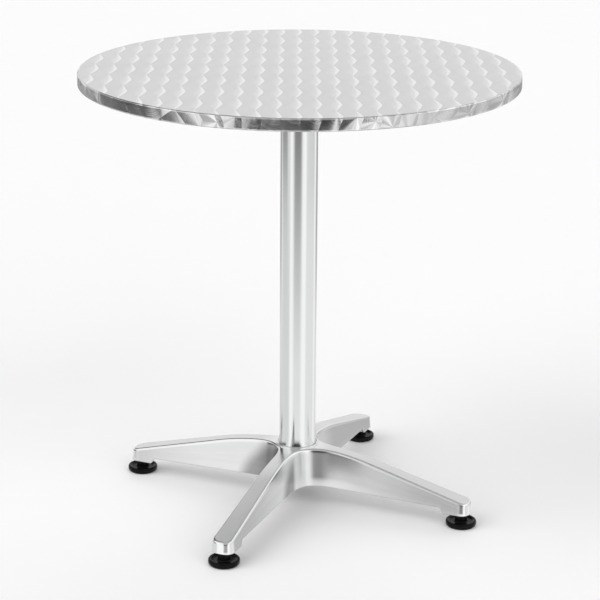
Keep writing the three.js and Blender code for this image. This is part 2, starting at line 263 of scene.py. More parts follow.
def noise(place, scale, detail, **more):
    return signal(place.tree, "ShaderNodeTexNoise",
                  {"Vector": place, "Scale": scale, "Detail": detail, **more}, "Fac")


def tinted(tone, red=1.0, green=1.0, blue=1.0):
    shares = {"Red": red, "Green": green, "Blue": blue}
    return signal(tone.tree, "ShaderNodeCombineColor", {
        name: tone if share == 1.0 else tone * share for name, share in shares.items()})


def new_material(name, metallic=0.0):
    material = bpy.data.materials.new(name)
    material.use_nodes = True
    tree = material.node_tree
    tree.nodes["Principled BSDF"].inputs["Metallic"].default_value = metallic
    return material, tree


def dress(tree, **surface):
    shader = tree.nodes["Principled BSDF"]
    for name, value in surface.items():
        plug(tree, value, shader.inputs[name.replace("_", " ")])


print("material helpers: place, noise, tint, new material, dress")

# %% Floor
FLOOR_SIZE = 12.0
FLOOR_TONES = (0.982, 0.986)
pale, tree = new_material("pale_floor")
pale_tone = ramp(noise(object_place(tree), 3.0, 2.0), 0.3, 0.7, *FLOOR_TONES)
dress(tree, Base_Color=tinted(pale_tone), Roughness=1.0, Specular_IOR_Level=0.0)
sheet = bmesh.new()
bmesh.ops.create_grid(sheet, x_segments=8, y_segments=8, size=FLOOR_SIZE)
floor_mesh = bpy.data.meshes.new("pale_floor")
sheet.to_mesh(floor_mesh)
sheet.free()
floor_mesh.materials.append(pale)
floor = bpy.data.objects.new("pale_floor", floor_mesh)
floor.visible_glossy = False
bpy.context.scene.collection.objects.link(floor)
print("floor:", floor.name, FLOOR_SIZE * 2, "m wide")

# %% [markdown]
# The lamps
#
# Three wide lamps give the matt parts a little shape: a key from the upper left, a fill from the
# right, and one from behind that lifts the far side. Near lamps would light the middle of the floor
# more than its corners. Far lamps with a wide disc light it evenly and blur the table's shadow.
# They stay out of reflections, where the room's white panels already shine, so they cannot burn a
# hard spot into polished metal. Each row gives where a lamp stands and how strong it is.

# %% Lamps
LAMP_DISC = 60
LAMPS = {"key_lamp": ((-2.2, -2.0, 2.25), 1.54), "fill_lamp": ((2.8, -1.6, 1.85), 1.05),
         "back_lamp": ((-0.6, 3.0, 2.60), 0.62)}
for lamp_name, (way, power) in LAMPS.items():
    lamp = bpy.data.objects.new(lamp_name, bpy.data.lights.new(lamp_name, "SUN"))
    lamp.data.angle = math.radians(LAMP_DISC)
    lamp.data.energy = power
    lamp.location = way
    lamp.rotation_euler = (-Vector(way)).to_track_quat("-Z", "Y").to_euler()
    lamp.visible_glossy = False
    bpy.context.scene.collection.objects.link(lamp)
print("lamps:", ", ".join(LAMPS))

# %% [markdown]
# Shared surface effects
#
# Most of the metals here are brushed by a belt or a polishing wheel, and all of them have been
# handled. Those two effects are used again and again, so each is made once as a node group with
# named sockets. The brushing group stretches a fine noise along one direction and adds broader,
# fainter bands. The wear group gives thin scratches and soft smudges. Both put out plain values,
# and each material decides what to do with them.

# %% Group helpers
VECTOR, FLOAT = "NodeSocketVector", "NodeSocketFloat"


def vector_math(operation, *vectors, output="Vector"):
    return signal(vectors[0].tree, "ShaderNodeVectorMath", dict(enumerate(vectors)), output,
                  operation=operation)


def combine(tree, **parts):
    return signal(tree, "ShaderNodeCombineXYZ", parts)


def new_group(name, inputs, outputs):
    group = bpy.data.node_groups.new(name, "ShaderNodeTree")
    for socket, (kind, value) in inputs.items():
        made = group.interface.new_socket(socket, in_out="INPUT", socket_type=kind)
        if value is not None:
            made.default_value = value
    for socket in outputs:
        kind = VECTOR if socket == "Normal" else FLOAT
        group.interface.new_socket(socket, in_out="OUTPUT", socket_type=kind)
    entry = group.nodes.new("NodeGroupInput").outputs
    return group, {socket: Signal(group, entry[socket]) for socket in inputs}


def put_out(group, **values):
    leave = group.nodes.new("NodeGroupOutput").inputs
    for name, value in values.items():
        plug(group, value, leave[name.replace("_", " ")])


def use_group(tree, group, **inputs):
    made = tree.nodes.new("ShaderNodeGroup")
    made.node_tree = group
    for name, value in inputs.items():
        plug(tree, value, made.inputs[name.replace("_", " ")])
    return {output.name: Signal(tree, output) for output in made.outputs}


print("group helpers: vectors, new group, its outputs, its use")

# %% Brushing and wear groups
BAND_SHARE = 0.06
brushing, entry = new_group(
    "brushed_lines",
    {"Place": (VECTOR, None), "Along": (FLOAT, 40.0), "Across": (FLOAT, 2500.0)},
    ["Lines", "Bands"])


def stretched_noise(share, detail):
    along, across = entry["Along"] * share, entry["Across"] * share
    stretch = combine(brushing, X=along, Y=across, Z=across)
    return noise(vector_math("MULTIPLY", entry["Place"], stretch), 1.0, detail, Roughness=0.55)


put_out(brushing, Lines=stretched_noise(1.0, 3.0), Bands=stretched_noise(BAND_SHARE, 2.0))

wear, entry = new_group(
    "handling_wear", {"Place": (VECTOR, None), "Size": (FLOAT, 60.0)}, ["Scratches", "Smudges"])
place, size = entry["Place"], entry["Size"]
bent = signal(wear, "ShaderNodeTexNoise", {"Vector": place, "Scale": 9.0, "Detail": 1.0}, "Color")
bent_place = vector_math("ADD", place, vector_math("MULTIPLY", bent, (0.25, 0.25, 0.25)))
cracks = signal(wear, "ShaderNodeTexVoronoi", {"Vector": bent_place, "Scale": size}, "Distance",
                feature="DISTANCE_TO_EDGE")
patches = noise(place, size * 0.6, 2.0)
put_out(wear, Scratches=ramp(cracks, 0.0, 0.012, 1, 0) * ramp(patches, 0.52, 0.66),
        Smudges=ramp(noise(place, size * 0.15, 4.0, Roughness=0.6), 0.35, 0.7))


def new_finish(name, metallic, wear_size):
    """Start a material: gives it, its tree, the place on the piece and the wear there."""
    material, tree = new_material(name, metallic)
    place = object_place(tree)
    print("finish:", name)
    return material, tree, place, use_group(tree, wear, Place=place, Size=wear_size)


print("groups:", brushing.name, wear.name)

# %% [markdown]
# The turned finish of the top
#
# The steel of the top is decorated before it is folded: a spinning pad is pressed on the flat sheet
# again and again, in rows, and each touch leaves a disc of fine rings. Every disc lies partly on
# the one before, so only a crescent of each stays in sight. Thousands of modelled discs would be
# heavy. Arithmetic on the sheet's own flat coordinates finds the same thing: which crescent a point
# is in and how far it is from that crescent's round edge. A painted highlight runs along that edge
# in the colour and fades inwards, with a band of painted shade behind it, and fine rings tilt the
# normal, so the light also runs round each disc. The rows lie square to the camera's turn in the
# photograph, so the pattern is turned by the same angle.

# %% Turned steel group
PATTERN_START = (-0.005, -0.008, 0.0)
ARC_CURVE = 1.35
swirl, entry = new_group("turned_discs", {
    "Sheet": (VECTOR, None), "Step": (FLOAT, 0.0292), "Row": (FLOAT, 0.083),
    "Bulge": (FLOAT, 0.0095), "Ring Tilt": (FLOAT, 0.10), "Fan Tilt": (FLOAT, 0.12),
    "Fan Count": (FLOAT, 3.0), "Rim Lean": (FLOAT, 0.0), "Rim Turn": (FLOAT, 0.0),
}, ["Normal", "Streak", "Hollow", "Grooves", "Fans", "Wedge", "Disc Tone"])
sheet_x, sheet_y, _ = split(vector_math("SUBTRACT", entry["Sheet"], PATTERN_START))
row_index = calc("ROUND", sheet_y / entry["Row"])
across = sheet_y - row_index * entry["Row"]
level = across / (entry["Row"] * 0.5)
fullness = calc("MAXIMUM", 1.0 - level * level, 0.0)
arc = entry["Bulge"] * (1.0 - calc("POWER", calc("ABSOLUTE", level), ARC_CURVE))
column_index = calc("CEIL", (sheet_x - arc) / entry["Step"])
along = sheet_x - column_index * entry["Step"]
inside = arc - along
disc_seed = signal(swirl, "ShaderNodeTexWhiteNoise", {
    "Vector": combine(swirl, X=row_index, Y=column_index)}, "Value", noise_dimensions="3D")

# %% [markdown]
# Painted highlight streaks and rings of one disc
#
# The painted highlight along a crescent's edge has a soft part and a narrow core, and it is widest
# and brightest in the middle of its row. Behind it the colour is a little darker, as painted shade.
# Rings come from noise along the distance to the disc's middle, and fans from noise along the angle
# round it. On the folded rim the fans lean along the edge, so each patch there mirrors another part
# of the room.

# %% Streaks, rings and fans
def line_noise(along, detail, roughness):
    return signal(along.tree, "ShaderNodeTexNoise", {
        "W": along, "Scale": 1.0, "Detail": detail, "Roughness": roughness}, "Fac",
        noise_dimensions="1D")


lower_swell = ramp(level, -0.2, 0.9, 1, 0) * ramp(level, -0.95, -0.35)
soft_width = arc + 0.004 + lower_swell * 0.008
core_width = arc * 0.7 + 0.002
soft_part = ramp(inside, soft_width * 0.1, soft_width, 1, 0)
core_part = ramp(inside, core_width * 0.5, core_width, 1, 0)
# Painted highlight: a bright band in the colour along each crescent's round edge.
painted_highlight = ramp(inside, 0.0, 0.001) * (soft_part * 0.5 + core_part * 0.5)
painted_highlight = painted_highlight * (0.4 + calc("SQRT", fullness) * 0.6)
# Painted shade: a slightly darker band in the colour behind each painted highlight.
hollow = ramp(inside, 0.016, 0.028) * fullness

reach = calc("MAXIMUM", calc("SQRT", along * along + across * across), 1e-5)
bearing = calc("ARCTAN2", along, across * -1)
grooves = ramp(line_noise(reach * 1300.0 + disc_seed * 97.0, 2.0, 0.7), 0.25, 0.75, -1, 1,
               smooth=False)
fans = ramp(line_noise(bearing * entry["Fan Count"] + disc_seed * 53.0, 1.0, 0.4), 0.3, 0.7, -1, 1,
            smooth=False)
straight_out = (disc_seed - 0.5) * 0.3
# Painted highlight: a bright wedge straight out from each disc's middle, used in the rim's colour.
painted_wedge = ramp(calc("ABSOLUTE", bearing - straight_out), 0.10, 0.55, 1, 0)

swing = fans * 0.6 + calc("MAXIMUM", calc("MINIMUM", bearing, 0.6), -1.2) * 0.8
out_x, out_y, _ = split(vector_math("NORMALIZE", entry["Sheet"]))
ring_lean, fan_lean = grooves * entry["Ring Tilt"], swing * entry["Fan Tilt"]
fan_x, fan_y = 1.0 + entry["Rim Turn"] * (-1.0 - out_y), entry["Rim Turn"] * out_x
lean_x = ring_lean * (along / reach) + fan_lean * fan_x - out_x * entry["Rim Lean"]
lean_y = ring_lean * (across / reach) + fan_lean * fan_y - out_y * entry["Rim Lean"]
encoded = combine(swirl, X=ramp(lean_x, -1, 1, smooth=False), Y=ramp(lean_y, -1, 1, smooth=False),
                  Z=1.0)
tilted = signal(swirl, "ShaderNodeNormalMap", {"Color": encoded, "Strength": 1.0},
                space="TANGENT", uv_map="sheet")
put_out(swirl, Normal=tilted, Streak=painted_highlight, Hollow=hollow, Grooves=grooves, Fans=fans,
        Wedge=painted_wedge, Disc_Tone=disc_seed)
print("group:", swirl.name, "with", len(swirl.nodes), "nodes")

# %% Turned steel
RIM_START = (0.3495, 0.3505)
STEEL_TONE, STREAK_LIGHT, WEDGE_LIGHT, RIM_REFLECTION_TONES = 0.70, 0.27, 0.14, (0.60, 0.94)
turned_steel, tree, place, marks = new_finish("turned_steel", 1.0, wear_size=50.0)
sheet_uv = signal(tree, "ShaderNodeUVMap", uv_map="sheet")
rim = ramp(vector_math("LENGTH", sheet_uv, output="Value"), *RIM_START)
pattern = use_group(tree, swirl, Sheet=sheet_uv, Fan_Tilt=ramp(rim, 0, 1, 0.08, 0.10),
                    Fan_Count=ramp(rim, 0, 1, 3.0, 1.3), Rim_Lean=ramp(rim, 0, 1, 0, 0.035),
                    Rim_Turn=rim)
# The face's colour carries the painted highlights and the painted shade bands of the discs.
face_tone = (pattern["Disc Tone"] * 0.012 + STEEL_TONE + pattern["Streak"] * STREAK_LIGHT
             - pattern["Hollow"] * 0.03 + pattern["Grooves"] * 0.012 - marks["Scratches"] * 0.03)
# Rim colour: painted reflection patches, dark and bright by the fans, plus the painted highlight
# wedge.
rim_painted_reflection = ramp(pattern["Fans"], -0.9, 0.9, *RIM_REFLECTION_TONES, smooth=False)
rim_painted_reflection = rim_painted_reflection + pattern["Wedge"] * WEDGE_LIGHT
dress(tree, Base_Color=tinted(mix(rim, face_tone, rim_painted_reflection), blue=1.005),
      Roughness=marks["Smudges"] * 0.05 + 0.14, Normal=pattern["Normal"])

# %% [markdown]
# Cast and drawn aluminium
#
# The column is a drawn tube, bright and almost mirror smooth, with faint lines along its length.
# The base is a sand casting: its top faces are sanded satin along each leg, its edges are polished
# bright on a wheel, its sides are brushed, and the hollow underneath is left as it came out of the
# mould. The base carries a float attribute for each of these zones, so one material can blend from
# one finish to the next instead of changing at a hard line. The sides' colour also carries painted
# shade: it is darker towards two of the tips, along the far leg and in one inner corner.

# %% Column aluminium
COLUMN_TONE, COLUMN_ROUGHNESS = 0.885, 0.12


def bump(height, strength, distance):
    return signal(height.tree, "ShaderNodeBump", {
        "Height": height, "Strength": strength, "Distance": distance}, "Normal")


column_aluminium, tree, place, marks = new_finish("drawn_aluminium", 1.0, wear_size=40.0)
upright = signal(tree, "ShaderNodeVectorRotate", {
    "Vector": place, "Rotation": (0, math.pi / 2, 0)}, rotation_type="EULER_XYZ")
lines = use_group(tree, brushing, Place=upright, Along=12.0, Across=1800.0)
dress(tree, Base_Color=tinted(lines["Lines"] * 0.03 + COLUMN_TONE, red=0.992),
      Roughness=marks["Smudges"] * 0.04 + COLUMN_ROUGHNESS,
      Normal=bump(lines["Lines"], 0.08, 0.0002))

# %% Cast aluminium
FAR_LEG, TIPS, INNER_CORNER = (-0.35, 0.94, 0), (0.707, -0.707, 0), (-0.707, -0.707, 0)
WALL_DEPTH = (0.050, 0.054)
SATIN_TONE, POLISHED_TONE, SATIN_ROUGHNESS = 0.715, 0.93, 0.21
cast_aluminium, tree, place, marks = new_finish("cast_aluminium", 1.0, wear_size=45.0)
brush_uv = signal(tree, "ShaderNodeUVMap", uv_map="brush")
polish, raw = [signal(tree, "ShaderNodeAttribute", output="Fac", attribute_name=name)
               for name in ("polish", "raw_cast")]
lines = use_group(tree, brushing, Place=brush_uv, Along=60.0, Across=1500.0)
wall = ramp(split(brush_uv)[1], *WALL_DEPTH, 1, 0)


def towards(way, low, high, start=0.0, end=1.0):
    return ramp(vector_math("DOT_PRODUCT", place, way, output="Value"), low, high, start, end)


# Painted shade: the walls' colour is darker towards the far leg, two tips and one inner corner near
# the hub.
near_hub = ramp(vector_math("LENGTH", place, output="Value"), 0.088, 0.115, 0.46, 0)
painted_side_shade = wall * (towards(FAR_LEG, 0.04, 0.12, 0, 0.28) + towards(TIPS, 0.03, 0.20, 0, 0.30)
                      + towards(INNER_CORNER, 0.02, 0.03) * near_hub)
tone = lines["Bands"] * 0.08 + SATIN_TONE + wall * 0.05 - painted_side_shade + lines["Lines"] * 0.05
tone = mix(polish, tone, POLISHED_TONE) - raw * 0.18
grain = noise(place, 900.0, 3.0)
relief = lines["Lines"] * (1.0 - raw) + grain * (raw * 9.0)
dress(tree, Base_Color=tinted(tone, green=1.003, blue=1.008), Normal=bump(relief, 0.08, 0.0002),
      Roughness=marks["Smudges"] * 0.05 + SATIN_ROUGHNESS - polish * 0.14 + raw * 0.32)

# %% [markdown]
# Plated hardware
#
# Screws, rod, nut and studs are steel with a thin zinc plate. Zinc is grey with a faint yellow
# cloud in it, and handling dulls it. A picture of zinc would repeat and blur up close. One slow
# noise changes its colour, and the wear its roughness, at any size.

# %% Zinc plate
ZINC_GREY, ZINC_YELLOW = (0.56, 0.57, 0.58, 1), (0.66, 0.65, 0.60, 1)
zinc_steel, tree, place, marks = new_finish("zinc_plated_steel", 1.0, wear_size=220.0)
clouds = noise(place, 260.0, 3.0)
dress(tree, Base_Color=mix(ramp(clouds, 0.35, 0.65), ZINC_GREY, ZINC_YELLOW, kind="RGBA"),
      Roughness=ramp(marks["Smudges"], 0, 1, 0.29, 0.42), Normal=bump(clouds, 0.1, 0.0001))

# %% [markdown]
# Plastic, laminate and board
#
# The feet are moulded in black plastic: smooth but not mirror-like, with a faint ripple from the
# mould and a little dust in the hollows. The backing sheet is a pale plastic laminate with a fine
# pebble grain, and the core is pressed board, of which hardly anything shows. A flat colour would
# look like a sample card, so each gets its own grain.

# %% Foot plastic
foot_plastic, tree, place, marks = new_finish("black_plastic", 0.0, wear_size=120.0)
dress(tree, Base_Color=tinted(marks["Smudges"] * 0.004 + 0.004, blue=1.1),
      Roughness=ramp(marks["Smudges"], 0, 1, 0.20, 0.26), Specular_IOR_Level=0.10,
      Normal=bump(noise(place, 420.0, 2.0), 0.12, 0.0002))

# %% Laminate and board
CHIP_DARK, CHIP_PALE = (0.27, 0.17, 0.09, 1), (0.46, 0.33, 0.20, 1)
backing_laminate, tree, place, marks = new_finish("backing_laminate", 0.0, wear_size=25.0)
pebble = noise(place, 700.0, 2.0)
dress(tree, Base_Color=tinted(pebble * 0.06 + 0.44 - marks["Smudges"] * 0.04, blue=1.01),
      Roughness=0.5, Normal=bump(pebble, 0.3, 0.0002))

core_board, tree = new_material("pressed_board")
chips = signal(tree, "ShaderNodeTexVoronoi", {"Vector": object_place(tree), "Scale": 380.0},
               "Distance")
dress(tree, Base_Color=mix(chips, CHIP_DARK, CHIP_PALE, kind="RGBA"),
      Roughness=0.85)
print("finishes:", len([m for m in bpy.data.materials if m.use_nodes]))

# %% Cover the CAD nodes that stay
for node, material in (("backing_sheet", backing_laminate), ("top_core", core_board)):
    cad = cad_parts[node]
    for slot in cad.material_slots:
        slot.material = material
    if not cad.material_slots:
        cad.data.materials.append(material)
    print(node, "shows", material.name)

# %% [markdown]
# Turned shapes
#
# The top, the column, the washers, the feet and the screws are all round about a vertical line.
# Each could be stacked from cylinders, but a drawn half-section that is spun round the axis is how
# a lathe or a spinning chuck makes it, and its corners can be rounded before it is spun. A profile
# is a short list of corners: radius, height, and how much of the corner is rounded off.

# %% Spinning helpers
FULL_TURN = 2 * math.pi
AXIS = (0, 0, 1)
JOIN = 1e-6


def move(shape, x, y, z, verts=None):
    bmesh.ops.translate(shape, verts=verts or shape.verts, vec=(x * MM, y * MM, z * MM))


def round_off(shape, geom, size, steps, affect="VERTICES"):
    bmesh.ops.bevel(shape, geom=geom, offset=size * MM, offset_type="OFFSET", segments=steps,
                    profile=0.5, affect=affect, material=-1)


def weld(shape):
    bmesh.ops.remove_doubles(shape, verts=shape.verts, dist=JOIN)
    bmesh.ops.recalc_face_normals(shape, faces=shape.faces)


def draw_profile(shape, corners, closed, round_steps=5):
    points = [shape.verts.new((r * MM, 0, z * MM)) for r, z, _ in corners]
    for start, end in zip(points, points[1:]):
        shape.edges.new((start, end))
    if closed:
        shape.edges.new((points[-1], points[0]))
    for point, (_, _, rounding) in zip(points, corners):
        if rounding:
            round_off(shape, [point], rounding, round_steps)


def spin_profile(corners, steps, closed=True, round_steps=5, centre=(0, 0)):
    shape = bmesh.new()
    draw_profile(shape, corners, closed, round_steps)
    bmesh.ops.spin(shape, geom=shape.verts[:] + shape.edges[:], cent=(0, 0, 0), axis=AXIS,
                   angle=FULL_TURN, steps=steps, use_merge=True)
    weld(shape)
    move(shape, *centre, 0)
    return shape


print("spinning helpers: a profile is drawn, rounded, spun and welded")


# %% Piece helper
def finish_piece(name, shape, finish, body, nodes, sharp=35):
    mesh = bpy.data.meshes.new(name)
    shape.to_mesh(mesh)
    shape.free()
    mesh.polygons.foreach_set("use_smooth", [True] * len(mesh.polygons))
    mesh.set_sharp_from_angle(angle=math.radians(sharp))
    mesh.materials.append(finish)
    piece = bpy.data.objects.new(name, mesh)
    bpy.context.scene.collection.objects.link(piece)
    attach(piece, body)
    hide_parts(*nodes)
    print(name, len(mesh.polygons), "faces, size mm",
          [round(d / MM, 1) for d in piece.dimensions])


print("a finished piece prints its name, its faces and its size")

# %% [markdown]
# The steel skin
#
# The skin is a flat disc whose edge is pressed down over the board and hemmed in underneath. The
# discs of the turned finish were on the sheet before it was pressed, so on the rim they run on
# downwards. A map laid on from above would smear them there. The map called sheet is the place
# that each point had on the flat sheet, measured along the profile and down the rim.
# An extra corner beside each rounded edge holds the shading of the flat faces flat.

# %% Top skin
TOP_RADIUS, TOP_HEIGHT, TOP_UNDERSIDE = 350, 730, 710
SHEET, HEM, HEM_LIP = 0.8, 12, 0.3
FOLD_ROUND, HEM_ROUND = 2.6, 2.0
FACE_HOLD, RIM_HOLD_HIGH, RIM_HOLD_LOW = 5.0, 3.4, 2.8
skin = spin_profile([
    (0, TOP_HEIGHT, 0), (TOP_RADIUS - FACE_HOLD, TOP_HEIGHT, 0),
    (TOP_RADIUS, TOP_HEIGHT, FOLD_ROUND), (TOP_RADIUS, TOP_HEIGHT - RIM_HOLD_HIGH, 0),
    (TOP_RADIUS, TOP_UNDERSIDE + RIM_HOLD_LOW, 0), (TOP_RADIUS, TOP_UNDERSIDE, HEM_ROUND),
    (TOP_RADIUS - HEM, TOP_UNDERSIDE, HEM_LIP), (TOP_RADIUS - HEM, TOP_UNDERSIDE + SHEET, HEM_LIP),
    (TOP_RADIUS - SHEET, TOP_UNDERSIDE + SHEET, HEM_ROUND - SHEET),
    (TOP_RADIUS - SHEET, TOP_HEIGHT - SHEET, FOLD_ROUND - SHEET),
    (0, TOP_HEIGHT - SHEET, 0)], steps=180, closed=False)
sheet_map = skin.loops.layers.uv.new("sheet")
for face in skin.faces:
    for loop in face.loops:
        x, y, z = loop.vert.co
        radius = math.hypot(x, y)
        on_top = abs(z - TOP_HEIGHT * MM) < 0.0001
        spread = radius if on_top else TOP_RADIUS * MM + (TOP_HEIGHT * MM - z)
        if z < (TOP_UNDERSIDE + 1) * MM:
            spread = (TOP_RADIUS + TOP_HEIGHT - TOP_UNDERSIDE) * MM + (TOP_RADIUS * MM - radius)
        bend = math.atan2(y, x) if radius > JOIN else 0.0
        loop[sheet_map].uv = (Matrix.Rotation(-turn, 2) @ Vector((math.cos(bend), math.sin(bend)))
                              * spread)
finish_piece("turned_top_skin", skin, turned_steel, "table", ["top_skin"])

# %% [markdown]
# The column
#
# The column is a drawn tube, 60 mm across, opened a little at its foot so that it slips over the
# base's spigot. A plain cylinder would miss that flare. So a half-section of the wall is spun, with
# many small steps in the curved foot, and the long reflections bend there as on the real tube.

# %% Column tube
COLUMN_RADIUS, COLUMN_WALL, COLUMN_BOTTOM, COLUMN_TOP = 30, 2, 98.8, 702.5
FLARE_GROWTH, FLARE_LENGTH, FLARE_CURVE, FLARE_STEPS = 1.5, 32, 4.5, 20
END_HOLD, END_ROUND, FOOT_ROUND = 1.2, 0.4, 0.5


def column_radius(height):
    share = max(0.0, 1 - (height - COLUMN_BOTTOM) / FLARE_LENGTH)
    return COLUMN_RADIUS + FLARE_GROWTH * share ** FLARE_CURVE


flare = [COLUMN_BOTTOM + FLARE_LENGTH * step / FLARE_STEPS for step in range(FLARE_STEPS + 1)]
outer = [(column_radius(z), z, 0) for z in flare] + [
    (COLUMN_RADIUS, COLUMN_TOP - END_HOLD, 0), (COLUMN_RADIUS, COLUMN_TOP, END_ROUND)]
outer[0] = (*outer[0][:2], FOOT_ROUND)
inner = [(r - COLUMN_WALL, z, END_ROUND if z in (COLUMN_BOTTOM, COLUMN_TOP) else 0)
         for r, z, _ in reversed(outer)]
column = spin_profile(outer + inner, steps=96)
finish_piece("drawn_column_tube", column, column_aluminium, "table", ["column_tube"])

# %% [markdown]
# The plan of the base
#
# Seen from above, the base is a cross with round inner corners and blunt tips. Its sides lean in
# five degrees, so that the casting leaves its mould. The plan starts as twelve corners at floor
# level, which vertex bevels round off. Every higher or deeper line of the casting is the same plan
# drawn in by some amount, so each point only has to remember where it was on that first line and
# which way is outwards.

# %% Cross outline
CAST = {"half": 20.54, "reach": 308.48, "corner": 16.0}
DRAFT = math.tan(math.radians(5))
STRAIGHT_SIDE = 40
RING_OUTER, CROTCH_MARGIN, HUB_HEIGHT = 35.1, 0.8, 98.5
QUARTERS = [Matrix.Rotation(quarter * math.pi / 2, 3, "Z") for quarter in range(4)]
CAST["crotch"] = ((RING_OUTER + CROTCH_MARGIN + HUB_HEIGHT * DRAFT
                   - CAST["half"] * math.sqrt(2)) / (math.sqrt(2) - 1))


def cross_wire(shape, plan, crotch_steps, corner_steps, cuts):
    half, far = plan["half"], plan["reach"]
    points, kinds = [], []
    for spin in QUARTERS:
        for x, y, kind in ((far, -half, "corner"), (far, half, "corner"), (half, half, "crotch")):
            points.append(shape.verts.new(spin @ Vector((x, y, 0)) * MM))
            kinds.append(kind)
    for start, end in zip(points, points[1:] + points[:1]):
        shape.edges.new((start, end))
    for kind, steps in (("corner", corner_steps), ("crotch", crotch_steps)):
        round_off(shape, [p for p, k in zip(points, kinds) if k == kind], plan[kind], steps)
    longest = [e for e in shape.edges if e.calc_length() > STRAIGHT_SIDE * MM]
    bmesh.ops.subdivide_edges(shape, edges=longest, cuts=cuts)


print("inner corners of the base:", round(CAST["crotch"], 2), "mm round")


# %% Outward direction
def outwards(plan, x, y):
    """Outward direction of the cross's outline at one of its points at floor level."""
    along, side = max(abs(x), abs(y)), min(abs(x), abs(y))
    centre = plan["half"] + plan["crotch"]
    tip = plan["reach"] - plan["corner"]
    if along < centre:
        way = Vector((centre - along, centre - side))
    elif along > tip:
        beside = side - (plan["half"] - plan["corner"])
        way = Vector((1, 0)) if beside < 0 else Vector((along - tip, beside))
    else:
        way = Vector((0, 1))
    way.normalize()
    if abs(x) >= abs(y):
        return Vector((math.copysign(way.x, x), math.copysign(way.y, y)))
    return Vector((math.copysign(way.y, x), math.copysign(way.x, y)))


print("outwards at the right tip:", outwards(CAST, CAST["reach"], 0)[:])

# %% [markdown]
# The shell of the base
#
# The casting could be a block cut to shape, but a cut leaves hard, uneven edges that polished metal
# would betray. Instead one closed line runs round the cross and is extruded again and again: up the
# wall, over a rounded edge, and in across the top face to the middle of each leg. A second run goes
# down round the lip, up inside the wall and across the hollow's ceiling. Each new line is placed by
# two rules, how far it is drawn in and how high it lies, so all surfaces meet as the drawing says.
# It also keeps how far it runs across the surface, which the brushed lines follow later.

# %% Heights and lines of the casting
BEND_START, BEND_END, BEND_DROP = 30.0, 141.0, 14.45
LEG_SLOPE = 2 * BEND_DROP / (BEND_END - BEND_START)
FOOT_CIRCLE, BOSS_BOTTOM, BOSS_RADIUS = 291.0, 21.5, 18.5
SKIRT_HUB, SKIRT_FALL = 35.0, 0.0155
WALL, TOP_WALL = 4.5, 6.0
EDGE_ROUND, LIP_ROUND, HOLLOW_ROUND = 3.2, 1.2, 3.0
BLOCK_TOP_START, BLOCK_START, BLOCK_GAP = 258.5, 267.0, 0.1
SPINE_RADIUS, ARC_SHARE = 25.0, 0.4


def upper_surface(radius):
    if radius <= BEND_START:
        return HUB_HEIGHT
    share = min(1.0, (radius - BEND_START) / (BEND_END - BEND_START))
    return HUB_HEIGHT - BEND_DROP * share * share - LEG_SLOPE * max(0.0, radius - BEND_END)


def lower_edge(along):
    share = min(1.0, max(0.0, (along - BLOCK_TOP_START) / (BLOCK_START - BLOCK_TOP_START)))
    share = share * share * (3 - 2 * share)
    skirt = SKIRT_HUB - SKIRT_FALL * along
    return skirt + (BOSS_BOTTOM + BLOCK_GAP - skirt) * share


def spine_point(plan, x, y):
    """Where the line drawn straight in from an outline point ends: on the leg's middle line."""
    along, side = max(abs(x), abs(y)), min(abs(x), abs(y))
    centre = plan["half"] + plan["crotch"]
    if along >= centre:
        spot = (min(along, plan["reach"] - plan["half"]), 0)
    else:
        share = 1 - math.atan2(centre - along, centre - side) / (math.pi / 4)
        if share < ARC_SHARE:
            angle = math.pi / 4 * (1 - share / ARC_SHARE)
            spot = (SPINE_RADIUS * math.cos(angle), SPINE_RADIUS * math.sin(angle))
        else:
            part = (share - ARC_SHARE) / (1 - ARC_SHARE)
            spot = (SPINE_RADIUS + (centre - SPINE_RADIUS) * part, 0)
    if abs(x) < abs(y):
        spot = (spot[1], spot[0])
    return Vector((math.copysign(spot[0], x), math.copysign(spot[1], y)))


def drawn_in(plan, x, y, inward, height_rule):
    """Point of the casting above an outline point, drawn in and set at a height by a rule."""
    way, height = outwards(plan, x, y), HUB_HEIGHT / 2
    for _ in range(4):
        spot = Vector((x, y)) - way * (height * DRAFT + inward)
        height = height_rule(spot)
    return Vector((spot.x, spot.y, height))


print("leg top at the foot:", round(upper_surface(FOOT_CIRCLE), 1), "mm")

# %% First line of the casting
EASED_REACH, EASING_PASSES, BLOCK_CUTS = 150, 24, 8
shell = bmesh.new()
cross_wire(shell, CAST, crotch_steps=16, corner_steps=10, cuts=48)
eased = [v for v in shell.verts if max(abs(v.co.x), abs(v.co.y)) < EASED_REACH * MM]
for _ in range(EASING_PASSES):
    bmesh.ops.smooth_vert(shell, verts=eased, factor=0.5, use_axis_x=True, use_axis_y=True)
block_lines = [BLOCK_TOP_START + (BLOCK_START - BLOCK_TOP_START) * step / BLOCK_CUTS
               for step in range(BLOCK_CUTS + 1)]
for axis in ((1, 0, 0), (0, 1, 0)):
    for cut in [0] + block_lines + [-line for line in block_lines]:
        bmesh.ops.bisect_plane(shell, geom=shell.verts[:] + shell.edges[:],
                               plane_co=Vector(axis) * cut * MM, plane_no=axis)
plan_layer = shell.verts.layers.float_vector.new("plan")
polish_layer = shell.verts.layers.float.new("polish")
raw_layer = shell.verts.layers.float.new("raw_cast")
length_layer = shell.verts.layers.float.new("length")
depth_layer = shell.verts.layers.float.new("depth")
for vert in shell.verts:
    vert[plan_layer] = vert.co / MM

first = min(shell.verts, key=lambda v: (abs(v.co.y), -v.co.x))
walker, came_from, run = first, None, 0.0
while True:
    walker[length_layer] = run
    onward = [e for e in walker.link_edges if e is not came_from][0]
    came_from, run = onward, run + onward.calc_length()
    walker = onward.other_vert(walker)
    if walker is first:
        break
OUTLINE_LENGTH = run
first_ring = shell.edges[:]
print("outline of the base:", round(OUTLINE_LENGTH / MM), "mm long,", len(first_ring), "edges")


